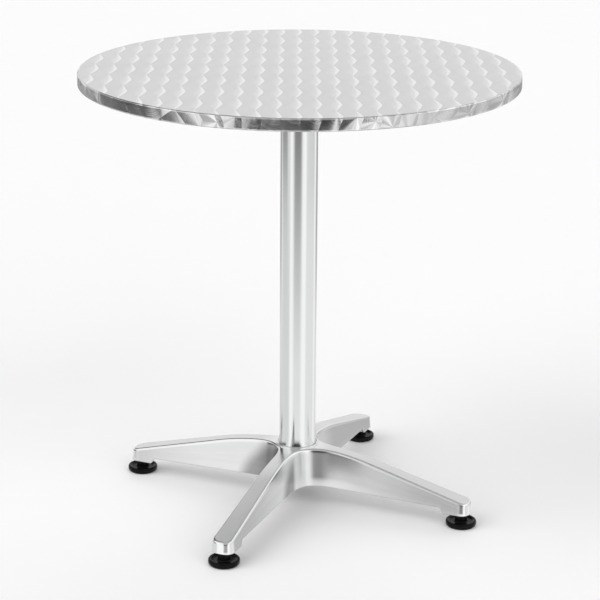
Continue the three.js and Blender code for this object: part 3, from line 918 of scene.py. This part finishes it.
# %% Rules for the lines
def corners_in(geom):
    return [g for g in geom if isinstance(g, bmesh.types.BMVert)]


def extrude_ring(shape, edges):
    """Extrude open edges, and give the new corners and the new open edges."""
    made = bmesh.ops.extrude_edge_only(shape, edges=edges)["geom"]
    fresh = set(corners_in(made))
    return fresh, [g for g in made if isinstance(g, bmesh.types.BMEdge)
                   and all(v in fresh for v in g.verts)]


def place_ring(verts, rule, depth, polish=0.0, raw=0.0):
    for vert in verts:
        vert.co = rule(vert[plan_layer]) * MM
        vert[depth_layer] = depth * MM
        vert[polish_layer] = polish
        vert[raw_layer] = raw


def next_ring(edges, rule, depth, polish=0.0, raw=0.0):
    fresh, far_edges = extrude_ring(shell, edges)
    place_ring(fresh, rule, depth, polish, raw)
    return far_edges


def wall_rule(share, inward=0.0, top_gap=EDGE_ROUND):
    def rule(p):
        def height(spot):
            low = lower_edge(max(abs(p.x), abs(p.y))) + LIP_ROUND
            high = upper_surface(spot.length) - top_gap
            return low + (high - low) * share
        return drawn_in(CAST, p.x, p.y, inward, height)
    return rule


def rounding_at(angle, radius):
    return radius * (1 - math.cos(angle)), radius * (1 - math.sin(angle))


def edge_rule(angle, radius, inward=0.0, below=0.0):
    shift, drop = rounding_at(angle, radius)
    return lambda p: drawn_in(CAST, p.x, p.y, inward + shift,
                              lambda spot: upper_surface(spot.length) - below - drop)


def cap_rule(share, inward, below=0.0):
    def rule(p):
        start = drawn_in(CAST, p.x, p.y, inward, lambda s: upper_surface(s.length) - below)
        spot = start.xy.lerp(spine_point(CAST, p.x, p.y), share)
        return Vector((spot.x, spot.y, upper_surface(spot.length) - below))
    return rule


def lip_rule(angle, radius, inward=0.0, sign=1):
    shift, rise = rounding_at(angle, radius)
    return lambda p: drawn_in(CAST, p.x, p.y, inward + sign * shift,
                              lambda spot: lower_edge(max(abs(p.x), abs(p.y))) + rise)


print("rules: wall, upper edge, face and lip")

# %% Extrude the outside of the shell
WALL_SHARES = (0.25, 0.5, 0.75, 0.93, 1.0)
ROUND_STEPS, FACE_MARGIN = 7, 0.5
SIDE_RUN, EDGE_RUN, FACE_START, FACE_RUN = 50, 4, 55, 14
quarter = [math.pi / 2 * s / ROUND_STEPS for s in range(1, ROUND_STEPS + 1)]
place_ring(shell.verts[:], wall_rule(0.0), 0)
ring = first_ring
for share in WALL_SHARES:
    ring = next_ring(ring, wall_rule(share), SIDE_RUN * share, polish=1.0 if share == 1.0 else 0.0)
for angle in quarter:
    ring = next_ring(ring, edge_rule(angle, EDGE_ROUND), SIDE_RUN + EDGE_RUN * angle,
                     polish=1.0 if angle < quarter[-2] else 0.5)
ring = next_ring(ring, edge_rule(math.pi / 2, EDGE_ROUND, inward=FACE_MARGIN), FACE_START)
for share in (0.12, 0.35, 0.68, 1.0):
    ring = next_ring(ring, cap_rule(share, EDGE_ROUND + FACE_MARGIN), FACE_START + FACE_RUN * share)
print("outside of the shell:", len(shell.faces), "faces")

# %% Extrude the lip and the hollow
LIP_RUN, LIP_FLAT, HOLLOW_START = 1.5, 5, 6
CEILING_EDGE, CEILING_TURN, CEILING_START, CEILING_RUN = 58, 2, 62, 12
LIP_SHINE = LIP_RAW = 0.6
ring = first_ring
for angle in (math.pi / 6, math.pi / 3, math.pi / 2):
    ring = next_ring(ring, lip_rule(angle, LIP_ROUND), -LIP_RUN * angle, polish=LIP_SHINE)
ring = next_ring(ring, lip_rule(math.pi / 2, LIP_ROUND, inward=WALL - 2 * LIP_ROUND), -LIP_FLAT,
                 raw=LIP_RAW)
for angle in (math.pi / 3, math.pi / 6, 0):
    ring = next_ring(ring, lip_rule(angle, LIP_ROUND, inward=WALL, sign=-1), -HOLLOW_START,
                     raw=1.0)
for share in WALL_SHARES:
    ring = next_ring(ring, wall_rule(share, inward=WALL, top_gap=TOP_WALL + HOLLOW_ROUND),
                     -HOLLOW_START - SIDE_RUN * share, raw=1.0)
for angle in quarter[1::2]:
    ring = next_ring(ring, edge_rule(angle, HOLLOW_ROUND, inward=WALL, below=TOP_WALL),
                     -CEILING_EDGE - CEILING_TURN * angle, raw=1.0)
for share in (0.3, 0.65, 1.0):
    ring = next_ring(ring, cap_rule(share, WALL + HOLLOW_ROUND, below=TOP_WALL),
                     -CEILING_START - CEILING_RUN * share, raw=1.0)
print("with the hollow:", len(shell.faces), "faces")

# %% Polished zones of the shell
NOSE_START, NOSE_END = 291.0, 296.0
HUB_SHINE_START, HUB_SHINE_END, HUB_SHINE = 40.0, 62.0, 0.7
for vert in shell.verts:
    along = max(abs(vert[plan_layer].x), abs(vert[plan_layer].y))
    if 0 <= vert[depth_layer] <= SIDE_RUN * MM:
        shine = min(1.0, max(0.0, (along - NOSE_START) / (NOSE_END - NOSE_START)))
        vert[polish_layer] = max(vert[polish_layer], shine)
    elif vert[depth_layer] > (FACE_START - 0.5) * MM:
        near = (HUB_SHINE_END - vert.co.xy.length / MM) / (HUB_SHINE_END - HUB_SHINE_START)
        vert[polish_layer] = HUB_SHINE * min(1.0, max(0.0, near))
bmesh.ops.remove_doubles(shell, verts=shell.verts, dist=JOIN)
print("casting shell:", len(shell.verts), "corners,", len(shell.faces), "faces")

# %% [markdown]
# The hub of the base
#
# At the middle, the top face and the hollow's ceiling each end in a small circle under the column.
# A real hub has a thick round boss there, bored for the tie rod. A separate plug would leave a
# seam. So the two circles are extruded towards each other: inwards on top, then from the ceiling
# down, in, and up the bore.

# %% Hub boss and bore
BORE_RADIUS, HUB_BOSS_RADIUS, HUB_BOSS_BOTTOM, HUB_ROOT = 5.3, 20.0, 64.0, HUB_HEIGHT - TOP_WALL
HUB_LINES = (
    (HUB_BOSS_RADIUS + 1.5, HUB_ROOT - 0.6), (HUB_BOSS_RADIUS, HUB_ROOT - 2.5),
    (HUB_BOSS_RADIUS, HUB_BOSS_BOTTOM + 1), (HUB_BOSS_RADIUS - 1, HUB_BOSS_BOTTOM),
    (BORE_RADIUS + 0.6, HUB_BOSS_BOTTOM), (BORE_RADIUS, HUB_BOSS_BOTTOM + 0.6),
    (BORE_RADIUS, HUB_HEIGHT))


def open_circle(height):
    return [e for e in shell.edges if e.is_boundary
            and all(abs(v.co.z - height * MM) < 0.5 * MM for v in e.verts)]


def hub_ring(edges, radius, height, raw):
    fresh, far_edges = extrude_ring(shell, edges)
    for vert in fresh:
        flat = vert.co.xy.normalized() * radius * MM
        vert.co = (flat.x, flat.y, height * MM)
        vert[raw_layer] = raw
    return far_edges


hub_ring(open_circle(HUB_HEIGHT), BORE_RADIUS, HUB_HEIGHT, 0.0)
lower = open_circle(HUB_ROOT)
for radius, height in HUB_LINES:
    lower = hub_ring(lower, radius, height, 1.0)
weld(shell)
print("open edges left on the casting:", len([e for e in shell.edges if not e.is_manifold]))

# %% Brush map of the casting
brush_map = shell.loops.layers.uv.new("brush")
for face in shell.faces:
    runs = [loop.vert[length_layer] for loop in face.loops]
    wraps = max(runs) - min(runs) > OUTLINE_LENGTH / 2
    for loop, run in zip(face.loops, runs):
        if wraps and run < OUTLINE_LENGTH / 2:
            run += OUTLINE_LENGTH
        loop[brush_map].uv = (run, loop.vert[depth_layer])
print("brush map:", len(shell.faces), "faces")

# %% [markdown]
# Bosses, ring and spigot
#
# Under each tip a round boss takes the foot's stud, its inner half bulging into the hollow. Round
# the column's foot stands a thin rounded ring, and inside the tube a spigot centres it. They are
# part of the same casting. A union of the solids would leave ragged seams, so they are spun and
# set into the shell's metal. Each boss is drawn out to a block that stays inside the leg's walls.

# %% Bosses and seat
STUD_HOLE_RADIUS, STUD_HOLE_TOP = 4.3, 37.8
EMBEDDED, BLOCK_LEAN, SQUARENESS, BLOCK_INSET = 2.2, 0.65, 0.4, 0.5
BOSS_LEVELS = (30, 35, 39.5)


def block_point(x, y, z):
    """Pull a point of the round boss out to the squarer block between the leg's walls."""
    across = y / math.hypot(x, y)
    width = CAST["half"] - z * DRAFT - EMBEDDED
    if x > 0:
        outer = CAST["reach"] - FOOT_CIRCLE - z * DRAFT - EMBEDDED
        return x * outer / BOSS_RADIUS, y * width / BOSS_RADIUS
    inner = FOOT_CIRCLE - BLOCK_START + BLOCK_INSET + (z - BOSS_BOTTOM) * BLOCK_LEAN
    scale = math.hypot(x, y) / BOSS_RADIUS
    along = -math.sqrt(1 - min(1.0, across * across))
    return (-abs(along) ** SQUARENESS * inner * scale,
            math.copysign(abs(across) ** SQUARENESS, across) * width * scale)


def rotate(shape, matrix):
    bmesh.ops.rotate(shape, verts=shape.verts, cent=(0, 0, 0), matrix=matrix)


def add_shape(shape, extra):
    mesh = bpy.data.meshes.new("extra")
    extra.to_mesh(mesh)
    extra.free()
    shape.from_mesh(mesh)
    bpy.data.meshes.remove(mesh)


bosses = bmesh.new()
for spin in QUARTERS:
    boss = spin_profile([
        (0, STUD_HOLE_TOP, 0), (STUD_HOLE_RADIUS, STUD_HOLE_TOP, 0),
        (STUD_HOLE_RADIUS, BOSS_BOTTOM, 0.5), (BOSS_RADIUS, BOSS_BOTTOM, 1.2),
        *((BOSS_RADIUS, height, 0) for height in BOSS_LEVELS), (0, BOSS_LEVELS[-1], 0)],
        steps=48, closed=False)
    for vert in boss.verts:
        x, y, z = vert.co / MM
        if math.hypot(x, y) > STUD_HOLE_RADIUS + 1:
            vert.co.xy = Vector(block_point(x, y, z)) * MM
    move(boss, FOOT_CIRCLE, 0, 0)
    rotate(boss, spin)
    add_shape(bosses, boss)
RING_INNER, RING_TOP, RING_ROUND, RING_ROOT = 32.7, 100.7, 0.7, HUB_HEIGHT - 3
add_shape(bosses, spin_profile([
    (RING_INNER, RING_ROOT, 0), (RING_OUTER, RING_ROOT, 0),
    (RING_OUTER, RING_TOP, RING_ROUND), (RING_INNER, RING_TOP, RING_ROUND)], steps=96))
SPIGOT_TOP, SPIGOT_INSET = HUB_HEIGHT + 22, COLUMN_WALL + 0.3
SPIGOT_LEVELS = ((RING_ROOT, COLUMN_BOTTOM, 0), (COLUMN_BOTTOM, COLUMN_BOTTOM, 0),
                 (COLUMN_BOTTOM + 10, COLUMN_BOTTOM + 10, 0), (SPIGOT_TOP, SPIGOT_TOP, 1))
add_shape(bosses, spin_profile([
    (BORE_RADIUS, RING_ROOT, 0),
    *((column_radius(fit) - SPIGOT_INSET, z, rounding) for z, fit, rounding in SPIGOT_LEVELS),
    (BORE_RADIUS, SPIGOT_TOP, 0.5)], steps=64))
BOSS_SHINE, BOSS_TURN = 0.7, 0.03
boss_polish = bosses.verts.layers.float.new("polish")
boss_map = bosses.loops.layers.uv.new("brush")
for vert in bosses.verts:
    vert[boss_polish] = BOSS_SHINE
for face in bosses.faces:
    for loop in face.loops:
        spot = loop.vert.co
        loop[boss_map].uv = (math.atan2(spot.y, spot.x) * BOSS_TURN, spot.z + spot.xy.length)
add_shape(shell, bosses)
finish_piece("polished_base_casting", shell, cast_aluminium, "table", ["base_casting"],
             sharp=50)

# %% [markdown]
# The spider under the top
#
# The column carries a flat cast cross that is screwed to the board. It has the same kind of plan
# as the base and could be extruded line by line as well. Its sides are straight, so it is quicker
# to fill the cross as one face, thicken it and round its edges over.

# %% Top spider
SPIDER = {"half": 17.0, "reach": 150.0, "corner": 12.0, "crotch": 26.0}
SPIDER_BOTTOM, SPIDER_TOP, SPIDER_EDGE = 702.8, 710.8, 1.4
SPIGOT_RADIUS, SPIGOT_LENGTH, ROD_POCKET, RIM_ANGLE = 27.7, 24, 3.9, math.radians(60)


def thicken(shape, faces, rise):
    grown = bmesh.ops.extrude_face_region(shape, geom=faces)["geom"]
    move(shape, 0, 0, rise, corners_in(grown))


spider = bmesh.new()
cross_wire(spider, SPIDER, crotch_steps=12, corner_steps=8, cuts=5)
move(spider, 0, 0, SPIDER_TOP)
plate = bmesh.ops.contextual_create(spider, geom=spider.edges[:])["faces"]
thicken(spider, plate, SPIDER_BOTTOM - SPIDER_TOP)
bmesh.ops.recalc_face_normals(spider, faces=spider.faces)
rims = [e for e in spider.edges if len(e.link_faces) == 2 and e.calc_face_angle() > RIM_ANGLE
        and abs(e.verts[0].co.z - e.verts[1].co.z) < JOIN]
round_off(spider, rims, SPIDER_EDGE, 4, affect="EDGES")
add_shape(spider, spin_profile([
    (0, SPIDER_BOTTOM + 2, 0), (SPIGOT_RADIUS, SPIDER_BOTTOM + 2, 0),
    (SPIGOT_RADIUS, SPIDER_BOTTOM - SPIGOT_LENGTH, 1.5),
    (BORE_RADIUS, SPIDER_BOTTOM - SPIGOT_LENGTH, 0.5), (BORE_RADIUS, SPIDER_TOP - ROD_POCKET, 0),
    (0, SPIDER_TOP - ROD_POCKET, 0)], steps=64, closed=False))
spider.verts.layers.float.new("polish")
spider_map = spider.loops.layers.uv.new("brush")
for face in spider.faces:
    for loop in face.loops:
        loop[spider_map].uv = loop.vert.co.xy
finish_piece("cast_top_spider", spider, cast_aluminium, "table", ["top_spider"])

# %% [markdown]
# Threads
#
# A thread is a ridge that climbs round a shaft. It could be faked with rings, but a narrow
# trapezium that is spun with a step along the axis makes a true helix in one call, closed at its
# two ends. Each ridge sits on a plain spun core.

# %% Thread helper
ROOT_DEPTH, CREST_START, CREST_END, RIDGE_END = 0.1, 0.42, 0.5, 0.92


def add_thread(shape, core, crest, pitch, bottom, top, steps=20):
    ridge = bmesh.new()
    root = core - ROOT_DEPTH
    start = ridge.faces.new([ridge.verts.new((r * MM, 0, (bottom + pitch * share) * MM))
                             for r, share in ((root, 0), (crest, CREST_START),
                                              (crest, CREST_END), (root, RIDGE_END))])
    turns = (top - bottom) / pitch - 1
    total = max(1, round(turns * steps))
    bmesh.ops.spin(ridge, geom=[start] + start.edges[:] + start.verts[:], cent=(0, 0, 0), axis=AXIS,
                   dvec=(0, 0, pitch * MM / steps), angle=FULL_TURN * total / steps, steps=total)
    weld(ridge)
    add_shape(shape, ridge)


print("thread crest:", round(CREST_END - CREST_START, 2), "of the pitch wide")

# %% [markdown]
# Screws, rod, washer and nut
#
# Eight pan-head screws hold the spider to the board. Their heads are spun, and the driver's cross
# is a twelve-cornered outline let into the flat face: the space between the two outlines is filled,
# and the cross is extruded up into the head and closed. The tie rod pulls the spider, the column
# and the base together, and its nut is a six-sided ring with chamfered corners.

# %% Pan-head screws
SCREW_SEAT, SCREW_HEAD, SCREW_LENGTH, SCREW_POINT = 702.5, 2.8, 19, 3
HEAD_RADIUS, FACE_RADIUS, SHANK_RADIUS = 4.5, 3.1, 2.1
HEAD_CURVE = ((4.1, 0.45), (HEAD_RADIUS, 1.3))
CROSS_ARM, CROSS_WIDTH, CROSS_DEPTH, CROSS_TAPER = 2.3, 0.55, 1.7, 0.55
SCREW_ROWS = {"inner": 78, "outer": 136}
STOP_PER_MM, STOP_PER_DEGREE = 17, 0.7


def make_screw():
    face_height = SCREW_SEAT - SCREW_HEAD
    screw = spin_profile([
        (FACE_RADIUS, face_height, 0),
        *((radius, face_height + rise, 0.3) for radius, rise in HEAD_CURVE),
        (HEAD_RADIUS, SCREW_SEAT, 0),
        (SHANK_RADIUS, SCREW_SEAT, 0), (SHANK_RADIUS, SCREW_SEAT + SCREW_LENGTH - SCREW_POINT, 0),
        (0, SCREW_SEAT + SCREW_LENGTH, 0)], steps=32, closed=False, round_steps=3)
    corner = ((CROSS_ARM, -CROSS_WIDTH), (CROSS_ARM, CROSS_WIDTH), (CROSS_WIDTH, CROSS_WIDTH))
    cross = [screw.verts.new((spin @ Vector((x, y, face_height))) * MM)
             for spin in QUARTERS for x, y in corner]
    slot_edges = [screw.edges.new(pair) for pair in zip(cross, cross[1:] + cross[:1])]
    face_ring = [e for e in screw.edges if e.is_boundary]
    bmesh.ops.triangle_fill(screw, use_beauty=True, edges=face_ring + slot_edges)
    fresh, floor_edges = extrude_ring(screw, slot_edges)
    for vert in fresh:
        vert.co = (vert.co.x * CROSS_TAPER, vert.co.y * CROSS_TAPER, vert.co.z + CROSS_DEPTH * MM)
    bmesh.ops.contextual_create(screw, geom=floor_edges)
    bmesh.ops.recalc_face_normals(screw, faces=screw.faces)
    return screw


def on_leg(radius, angle):
    return radius * math.cos(math.radians(angle)), radius * math.sin(math.radians(angle))


for side, angle in SIDES.items():
    for row, radius in SCREW_ROWS.items():
        screw = make_screw()
        stop = math.radians(STOP_PER_MM * radius + angle * STOP_PER_DEGREE)
        rotate(screw, Matrix.Rotation(stop, 3, "Z"))
        move(screw, *on_leg(radius, angle), 0)
        finish_piece(f"pan_screw_{row}_{side}", screw, zinc_steel, "table",
                     [f"spider_screw_{row}_{side}"])

# %% Tie rod, washer and nut
ROD_BOTTOM, ROD_TOP, ROD_RADIUS, ROD_CORE, ROD_PITCH = 38.9, 706.5, 5.0, 4.2, 1.5
CORE_TOP, SHANK_START, THREAD_END = 62, 64.5, 63.5
WASHER_BOTTOM, WASHER_TOP, WASHER_RADIUS = 61.2, 63.7, 15
rod = spin_profile([
    (0, ROD_BOTTOM, 0), (ROD_CORE, ROD_BOTTOM, 0.5), (ROD_CORE, CORE_TOP, 0.2),
    (ROD_RADIUS, SHANK_START, 0.2), (ROD_RADIUS, ROD_TOP, 0.8), (0, ROD_TOP, 0)],
    steps=40, closed=False)
add_thread(rod, ROD_CORE, ROD_RADIUS, ROD_PITCH, ROD_BOTTOM + 0.5, THREAD_END, steps=32)
finish_piece("threaded_tie_rod", rod, zinc_steel, "table", ["tie_rod"])
washer = spin_profile([
    (BORE_RADIUS, WASHER_BOTTOM, 0.3), (WASHER_RADIUS, WASHER_BOTTOM, 0.6),
    (WASHER_RADIUS, WASHER_TOP, 0.3), (BORE_RADIUS, WASHER_TOP, 0.2)], steps=64, round_steps=3)
finish_piece("plated_washer", washer, zinc_steel, "table", ["rod_washer"])

NUT_BOTTOM, NUT_TOP, NUT_FLATS, NUT_SIDES, NUT_CUTS = 52.9, 60.9, 17.0, 6, 7
CHAMFER_START, CHAMFER_SLOPE = NUT_FLATS / 2 + 0.1, 0.55
nut = bmesh.new()
bmesh.ops.create_circle(nut, cap_ends=False, segments=NUT_SIDES,
                        radius=NUT_FLATS / math.sqrt(3) * MM)
bmesh.ops.subdivide_edges(nut, edges=nut.edges[:], cuts=NUT_CUTS)
bmesh.ops.create_circle(nut, cap_ends=False, segments=NUT_SIDES * (NUT_CUTS + 1),
                        radius=BORE_RADIUS * MM)
move(nut, 0, 0, NUT_BOTTOM)
flat_face = bmesh.ops.bridge_loops(nut, edges=nut.edges[:])["faces"]
thicken(nut, flat_face, NUT_TOP - NUT_BOTTOM)
for vert in nut.verts:
    excess = vert.co.xy.length - CHAMFER_START * MM
    if excess > 0:
        vert.co.z += excess * CHAMFER_SLOPE * (1 if vert.co.z < (NUT_BOTTOM + 1) * MM else -1)
bmesh.ops.recalc_face_normals(nut, faces=nut.faces)
finish_piece("hex_rod_nut", nut, zinc_steel, "table", ["rod_nut"], sharp=20)

# %% [markdown]
# The levelling feet
#
# Each foot is a threaded stud with a black plastic pad moulded over its head. Turning the pad
# screws the stud in or out. The pad has a thick round lip, a dished upper face and a short neck
# that meets the boss. Stacked discs would miss the soft lip, so both are spun from a profile. They
# turn and slide about the foot's own axis, the same line as in the CAD.

# %% Studs and pads
STUD_TOP, STUD_RADIUS, STUD_CORE, STUD_PITCH, THREAD_START = 37.5, 4.0, 3.35, 1.25, 12.0
STUD_HEAD_RADIUS, STUD_HEAD_LOW, STUD_HEAD_HIGH, MOULD_GAP = 8.0, 3.0, 7.0, 0.3
PAD_TOP, PAD_RADIUS, PAD_RIM, NECK_RADIUS, DISH_RADIUS = 21.2, 25.0, 10.0, 9.5, 16.8
SOLE_HOLLOW, SOLE_RADIUS = 0.8, 15.0
pocket = STUD_HEAD_RADIUS + MOULD_GAP
for side, angle in SIDES.items():
    spot = on_leg(FOOT_CIRCLE, angle)
    stud = spin_profile([
        (0, STUD_HEAD_LOW, 0), (STUD_HEAD_RADIUS, STUD_HEAD_LOW, 0.4),
        (STUD_HEAD_RADIUS, STUD_HEAD_HIGH, 0.4), (STUD_CORE, STUD_HEAD_HIGH, 0),
        (STUD_CORE, STUD_TOP, 0.6), (0, STUD_TOP, 0)], steps=32, closed=False, round_steps=3)
    add_thread(stud, STUD_CORE, STUD_RADIUS, STUD_PITCH, THREAD_START, STUD_TOP - 0.3)
    move(stud, *spot, 0)
    finish_piece(f"threaded_stud_{side}", stud, zinc_steel, f"stud_{side}", [f"foot_stud_{side}"])
    pad = spin_profile([
        (0, SOLE_HOLLOW, 0), (SOLE_RADIUS - 0.4, SOLE_HOLLOW, 0.3), (SOLE_RADIUS, 0, 0.3),
        (PAD_RADIUS, 0, 3.9), (PAD_RADIUS, PAD_RIM, 2.9), (20.6, PAD_RIM - 0.2, 1.4),
        (DISH_RADIUS, 7.0, 1.6), (NECK_RADIUS + 0.4, 6.6, 2.6), (NECK_RADIUS, PAD_TOP, 1.5),
        (STUD_RADIUS + MOULD_GAP, PAD_TOP, 0.3),
        (STUD_RADIUS + MOULD_GAP, STUD_HEAD_HIGH + MOULD_GAP, 0),
        (pocket, STUD_HEAD_HIGH + MOULD_GAP, 0), (pocket, STUD_HEAD_LOW - MOULD_GAP, 0),
        (0, STUD_HEAD_LOW - MOULD_GAP, 0)],
        steps=72, closed=False, round_steps=6, centre=spot)
    finish_piece(f"levelling_pad_{side}", pad, foot_plastic, f"pad_{side}", [f"foot_pad_{side}"])
